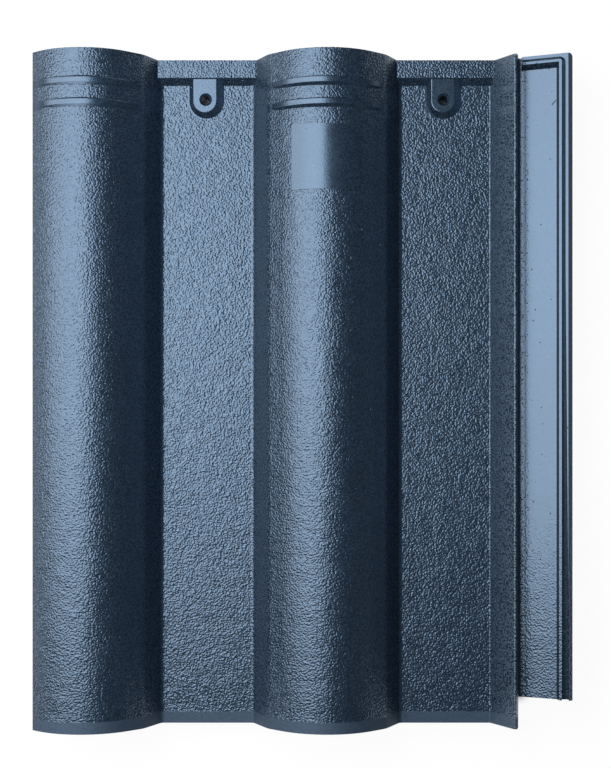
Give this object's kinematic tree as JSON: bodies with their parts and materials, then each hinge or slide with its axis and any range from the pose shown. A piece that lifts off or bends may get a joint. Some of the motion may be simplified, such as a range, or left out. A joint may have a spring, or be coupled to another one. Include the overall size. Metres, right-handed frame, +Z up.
{
  "type": "interlocking concrete roof tile",
  "caption": "Corrugated interlocking concrete roof tile with rounded rolls, flat pans, nail holes in raised bosses and a rimmed side underlap strip.",
  "frame": {"origin": "centre of the tile's outline, on the floor plane that its nibs and nose bars stand on", "axes": "+Y up the roof towards the head, +X across the tile from the cover roll towards the underlap strip, +Z up out of the weather face"},
  "size_m": [0.3382, 0.424, 0.0592],
  "materials": {
    "coated_concrete": "satin dark blue coating over cast concrete, bare grey on the underside"
  },
  "bodies": {
    "root": {"roof_tile": "coated_concrete"}
  },
  "joints": []
}
